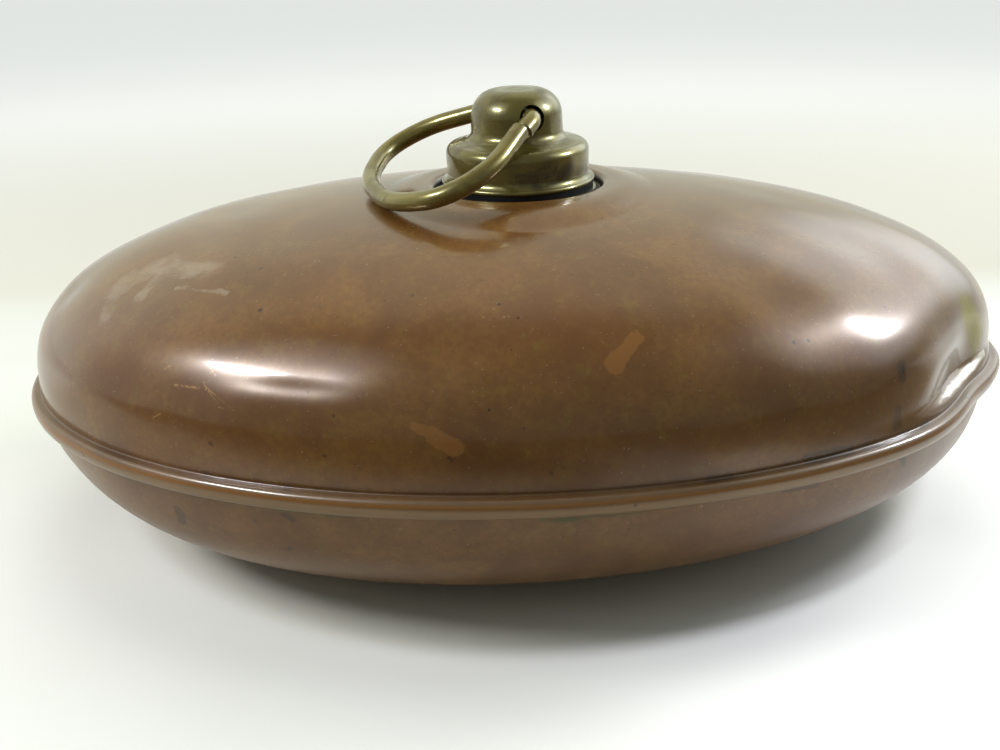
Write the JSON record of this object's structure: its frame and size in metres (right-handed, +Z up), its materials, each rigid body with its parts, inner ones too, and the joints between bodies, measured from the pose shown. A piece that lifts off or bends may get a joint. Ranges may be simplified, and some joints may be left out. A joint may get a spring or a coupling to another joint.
{
  "type": "hot water bottle",
  "caption": "Oval copper hot water bottle with a folded seam, a screwed brass stopper on a sealing washer and a swinging pull ring.",
  "frame": {"origin": "on the table under the middle of the oval", "axes": "+Z up, +X along the oval, -Y to the front as pictured"},
  "size_m": [0.3, 0.2, 0.1301],
  "materials": {
    "copper": "brown patina, worn satin",
    "aged_brass": "aged, satin",
    "solder": "dull grey solder",
    "rubber": "matt"
  },
  "bodies": {
    "bottle": {"upper_shell": "copper", "lower_shell": "copper", "seam_solder": "solder", "neck_collar": "aged_brass", "neck_solder": "solder"},
    "washer": {"sealing_washer": "rubber"},
    "stopper": {"stopper_cap": "aged_brass", "stopper_plug": "aged_brass", "cap_solder": "solder"},
    "ring": {"pull_ring": "aged_brass"}
  },
  "joints": [
    {"name": "stopper_lift", "type": "slide", "parent": "bottle", "child": "washer", "axis": [0, 0, 1], "range_m": [0, 0.0242]},
    {"name": "stopper_turn", "type": "hinge", "parent": "washer", "child": "stopper", "pos_m": [0.0045, 0, 0.1028], "axis": [0, 0, 1], "range_deg": [0, 2160]},
    {"name": "ring_swing", "type": "hinge", "parent": "stopper", "child": "ring", "pos_m": [0.0045, 0, 0.1227], "axis": [-0.3338, 0.9426, 0], "range_deg": [0, 228]}
  ],
  "couplings": [
    {"joint": "stopper_lift", "follows": "stopper_turn", "m_per_rad": 0.00063662}
  ]
}
